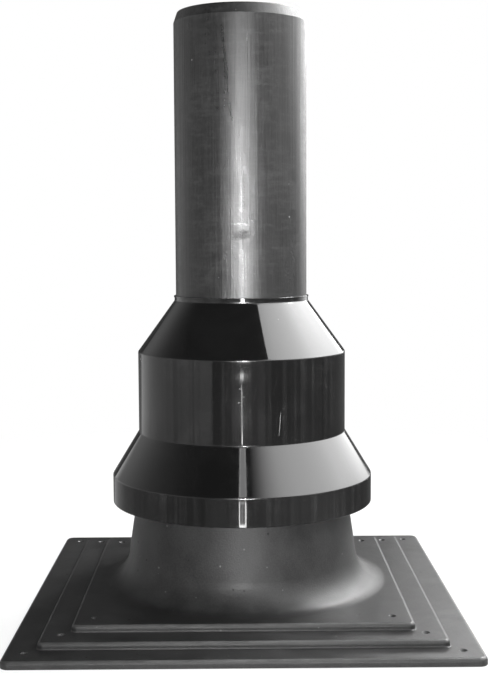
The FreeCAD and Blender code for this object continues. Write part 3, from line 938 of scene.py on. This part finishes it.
CARD_RINGS = (
    (0.36, CARD_SKIRT_ROUNDS), (0.62, CARD_SKIRT_ROUNDS),
    (1.25, CARD_BARREL_ROUNDS), (2.6, CARD_BARREL_ROUNDS),
    (3.1, CARD_FAR_ROUNDS), (6.9, CARD_FAR_ROUNDS),
)

# Light tubes on the floor in front: (left, right, end near the object, far end, widening there, strength)
TUBE_HEIGHT = 0.002
FLOOR_TUBES = (
    (-0.008, 0.005, -1.02, -1.12, 1.0, 26.0),
    (-0.0065, 0.0035, -1.12, -1.78, 1.8, 15.0),
    (-0.060, 0.065, -1.93, -2.03, 1.1, 12.0),
    (-0.023, -0.018, -0.505, -0.640, 1.3, 17.0),
    (0.018, 0.024, -0.505, -0.640, 1.3, 20.0),
    (-0.0045, 0.000, -0.517, -0.630, 1.3, 7.0),
    (-0.018, 0.018, -0.505, -0.517, 1.0, 22.0),
    (-0.018, 0.018, -0.517, -0.632, 1.3, 1.4),
    (-0.024, 0.024, -0.632, -0.640, 1.0, 9.0),
)


def stage_mesh(name, points, faces, material):
    """A piece of the studio, not of the object."""
    mesh = bpy.data.meshes.new(name)
    mesh.from_pydata(points, [], faces)
    mesh.materials.append(material)
    piece = add_object(name, mesh)
    return piece


def graded(value, stops):
    """Read a value between given stops of (place, level)."""
    if value <= stops[0][0]:
        return stops[0][1]
    for (start, low), (end, high) in zip(stops, stops[1:]):
        if value <= end:
            return low + (high - low) * (value - start) / (end - start)
    return stops[-1][1]


def eased(value, start, end):
    """Go smoothly from 0 at the start to 1 at the end."""
    share = min(max((value - start) / (end - start), 0), 1)
    return share * share * (3 - 2 * share)


def background_rays(tree):
    """1 for rays that show the background: to the camera, and by way of gloss or glass."""
    ray = place_node(tree, "LightPath").outputs
    bounced = calculate(tree, "MAXIMUM", ray["Is Glossy Ray"], ray["Is Transmission Ray"])
    return calculate(tree, "MAXIMUM", ray["Is Camera Ray"], bounced)


def start_studio_material(name):
    """A material without a Principled shader."""
    material, tree, _ = start_material(name)
    tree.nodes.remove(tree.nodes["Principled BSDF"])
    return material, tree


def make_floor():
    """A pale floor that keeps the shadow near the object and clears to white further out."""
    material, tree = start_studio_material("studio floor")
    parts = split(tree, object_place(tree))
    reach = calculate(tree, "SQRT", calculate(
        tree, "ADD",
        calculate(tree, "MULTIPLY", parts["X"], parts["X"]),
        calculate(tree, "MULTIPLY", parts["Y"], parts["Y"]),
    ))
    clear = ramp(tree, reach, *FLOOR_CLEAR, FLOOR_LEAST_CLEAR, 1.0)
    clear = calculate(tree, "MULTIPLY", clear, background_rays(tree))
    paint = place_node(tree, "BsdfDiffuse", {"Color": grey(FLOOR_TONE)})
    light = place_node(tree, "Emission", {"Color": grey(1.0), "Strength": WHITE})
    both = place_node(tree, "MixShader", {0: clear, 1: paint.outputs[0], 2: light.outputs[0]})
    tree.links.new(both.outputs[0], tree.nodes["Material Output"].inputs["Surface"])
    half = FLOOR_SIZE / 2
    corners = [(-half, -half, 0), (half, -half, 0), (half, half, 0), (-half, half, 0)]
    stage_mesh("studio_floor", corners, [(0, 1, 2, 3)], material).location.z = -FLOOR_DROP


def make_glow():
    """Light of the strength that a panel or card holds at each of its points."""
    material, tree = start_studio_material("studio glow")
    strength = place_node(tree, "Attribute", attribute_name="glow").outputs["Fac"]
    light = place_node(tree, "Emission", {"Color": grey(1.0), "Strength": strength})
    tree.links.new(light.outputs[0], tree.nodes["Material Output"].inputs["Surface"])
    return material


def hang_panel(name, rows, material, lights_the_room=True):
    """Hang a panel made of rows of (point, strength)."""
    width = len(rows[0])
    points = [point for row in rows for point, strength in row]
    faces = []
    for row in range(len(rows) - 1):
        for step in range(width - 1):
            first = row * width + step
            faces.append((first, first + 1, first + 1 + width, first + width))
    panel = stage_mesh(name, points, faces, material)
    glow = panel.data.attributes.new("glow", "FLOAT", "POINT")
    glow.data.foreach_set("value", [strength for row in rows for point, strength in row])
    panel.visible_camera = False
    if not lights_the_room:
        panel.visible_diffuse = False
        panel.visible_shadow = False


def sloping_line(around, height, bend):
    """The height of a line across the window, which slopes down beyond its bend."""
    return min(height, height - WINDOW_SLOPE * (around - bend))


def window_top(around):
    """How far up the window goes: it has a hard upper left corner, and its top slopes down to the right."""
    return WINDOW_LEFT_TOP if around < WINDOW_CORNER else sloping_line(around, *WINDOW_TOP_LINE)


def window_strength(around, up):
    """The window's strength: a low share, a high share above it, and a fade towards its foot."""
    low_line = sloping_line(around, *WINDOW_LOW_LINE)
    high_line = sloping_line(around, *WINDOW_HIGH_LINE)
    high_share = graded(around, WINDOW_HIGH_SHARES)
    low_share = graded(around, WINDOW_LOW_SHARES)
    share = low_share + (high_share - low_share) * eased(up, low_line, high_line)
    fade_start = graded(around, WINDOW_FADE_STARTS)
    strength = WINDOW_RADIANCE * share * eased(up, fade_start, fade_start + WINDOW_FADE)
    return max(strength, graded(around, WINDOW_LEAST_LEVELS))


def window_rows():
    rows = []
    for step in range(WINDOW_ROWS + 1):
        row = []
        for around in WINDOW_ROUNDS:
            up = WINDOW_FOOT + (window_top(around) - WINDOW_FOOT) * step / WINDOW_ROWS
            spot = WINDOW_HUB + toward_degrees(around, up) * WINDOW_DISTANCE
            row.append((spot, window_strength(around, up)))
        rows.append(row)
    return rows


def front_rows(steps=12):
    """The front panel's left side slants away to the right as it goes up."""
    rows = []
    for row in range(steps + 1):
        up = row / steps
        height = FRONT_HEIGHTS[0] + (FRONT_HEIGHTS[1] - FRONT_HEIGHTS[0]) * up
        level = FRONT_RADIANCE * graded(up, FRONT_SHARES_UP)
        rows.append([
            (Vector((across + FRONT_SLANT * up, -FRONT_DISTANCE, height)), level * share)
            for across, share in FRONT_SHARES_ACROSS
        ])
    return rows


def card_rows():
    rows = []
    for reach, stops in CARD_RINGS:
        row = []
        for around in range(stops[0][0], stops[-1][0] + 1):
            turn = math.radians(around)
            spot = Vector((math.sin(turn) * reach, -math.cos(turn) * reach, CARD_HEIGHT))
            row.append((spot, graded(around, stops)))
        rows.append(row)
    return rows


def toward_degrees(around, up):
    """The direction at a bearing from the front towards the right and a height above level."""
    turn = math.radians(around)
    rise = math.radians(up)
    return Vector((math.sin(turn) * math.cos(rise), -math.cos(turn) * math.cos(rise), math.sin(rise)))


def patch_rows(arounds, ups, radiance, distance=WINDOW_DISTANCE, steps=6):
    """An even patch of light on a dome, between two bearings and two heights in degrees."""
    rows = []
    for row in range(steps + 1):
        up = ups[0] + (ups[1] - ups[0]) * row / steps
        spread = [arounds[0] + (arounds[1] - arounds[0]) * step / steps for step in range(steps + 1)]
        rows.append([(WINDOW_HUB + toward_degrees(around, up) * distance, radiance) for around in spread])
    return rows


def hang_camera_lamp():
    """Hang the lamp behind the camera, which gives the pipe and the creases their sparkle."""
    lamp = bpy.data.lights.new("camera_lamp", "AREA")
    lamp.size = CAMERA_LAMP_WIDTH
    lamp.spread = math.radians(CAMERA_LAMP_SPREAD)
    lamp.energy = CAMERA_LAMP_POWER
    holder = add_object("camera_lamp", lamp)
    sight = Vector(CAMERA_LAMP_AIM) - Vector(CAMERA_LAMP_PLACE)
    holder.location = CAMERA_LAMP_PLACE
    holder.rotation_euler = sight.to_track_quat("-Z", "Y").to_euler()


def light_studio():
    glow = make_glow()
    hang_panel("window_panel", window_rows(), glow)
    hang_panel("front_panel", front_rows(), glow)
    hang_panel("kicker_panel", patch_rows(KICKER_ROUNDS, KICKER_HEIGHTS, KICKER_RADIANCE), glow)
    hang_panel("flare_light", patch_rows(FLARE_LIGHT_ROUNDS, FLARE_LIGHT_HEIGHTS, FLARE_LIGHT_RADIANCE), glow)
    across, heights = STAR_CARD
    rows = [[(Vector((x, -FRONT_DISTANCE, z)), STAR_RADIANCE) for x in across] for z in heights]
    hang_panel("star_card", rows, glow, lights_the_room=False)
    for number, (left, right, radiance) in enumerate(OVERHEAD_ROUNDS):
        rows = patch_rows((left, right), OVERHEAD_HEIGHTS, radiance)
        hang_panel(f"overhead_strip_{number}", rows, glow)
    hang_camera_lamp()
    hang_panel("floor_card", card_rows(), glow, lights_the_room=False)
    for number, (left, right, near, far, spread, radiance) in enumerate(FLOOR_TUBES):
        ends = ((near, 1.0), (far, spread))
        rows = [
            [(Vector((x * widening, y, TUBE_HEIGHT)), radiance) for x in (left, right)]
            for y, widening in ends
        ]
        hang_panel(f"floor_tube_{number}", rows, glow, lights_the_room=False)
    for number, arounds in enumerate(EDGE_CARD_ROUNDS):
        rows = patch_rows(arounds, EDGE_CARD_HEIGHTS, EDGE_CARD_RADIANCE, EDGE_CARD_DISTANCE)
        hang_panel(f"edge_card_{number}", rows, glow, lights_the_room=False)


def surround_studio():
    """The studio all round: dark, with a glow on the left, and white low down behind the object."""
    world = bpy.data.worlds.new("studio")
    bpy.context.scene.world = world
    world.use_nodes = True
    tree = world.node_tree
    toward = split(tree, place_node(tree, "TexCoord").outputs["Generated"])
    leftward = ramp(tree, calculate(tree, "MULTIPLY", toward["X"], -1.0), *SIDE_GLOW_LEFTWARD)
    side_glow = calculate(tree, "MULTIPLY", leftward, ramp(tree, toward["Z"], *SIDE_GLOW_UPWARD))
    studio = calculate(tree, "MULTIPLY_ADD", side_glow, STUDIO_SIDE_GLOW, STUDIO_DARK)
    near_horizon = ramp(tree, toward["Z"], *HORIZON_UPWARD)
    horizon = calculate(tree, "MULTIPLY", near_horizon, ramp(tree, toward["Y"], *HORIZON_BACKWARD))
    backdrop = calculate(tree, "MULTIPLY", horizon, background_rays(tree))
    around = blend_values(tree, backdrop, studio, WHITE)
    camera_ray = place_node(tree, "LightPath").outputs["Is Camera Ray"]
    strength = blend_values(tree, camera_ray, around, WHITE)
    background = tree.nodes["Background"]
    background.inputs["Color"].default_value = grey(1.0)
    tree.links.new(strength, background.inputs["Strength"])


def set_camera():
    camera = bpy.data.cameras.new("camera")
    camera.sensor_fit = "VERTICAL"
    camera.sensor_height = SENSOR_HEIGHT
    camera.lens = FOCAL_LENGTH_PIXELS / PHOTO_HEIGHT_PIXELS * SENSOR_HEIGHT
    holder = add_object("camera", camera)
    forward = Vector((
        math.sin(CAMERA_PAN) * math.cos(CAMERA_TILT),
        math.cos(CAMERA_PAN) * math.cos(CAMERA_TILT),
        -math.sin(CAMERA_TILT),
    ))
    right = Vector((math.cos(CAMERA_PAN), -math.sin(CAMERA_PAN), 0))
    up = right.cross(forward)
    rolled_right = right * math.cos(CAMERA_ROLL) + up * math.sin(CAMERA_ROLL)
    rolled_up = up * math.cos(CAMERA_ROLL) - right * math.sin(CAMERA_ROLL)
    axes = Matrix((rolled_right, rolled_up, -forward)).transposed()
    holder.matrix_world = Matrix.Translation(CAMERA_PLACE) @ axes.to_4x4()
    bpy.context.scene.camera = holder


dress(make_base(), make_base_plastic(), "base_flashing")
dress(make_collar(), make_collar_gloss(), "weather_collar")
dress(make_pipe(), make_pipe_plastic(), "flue_pipe")
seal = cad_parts["pipe_seal"]
seal.data.materials.clear()
seal.data.materials.append(make_seal_rubber())

make_floor()
light_studio()
surround_studio()
set_camera()
bpy.context.scene.view_settings.view_transform = "Standard"
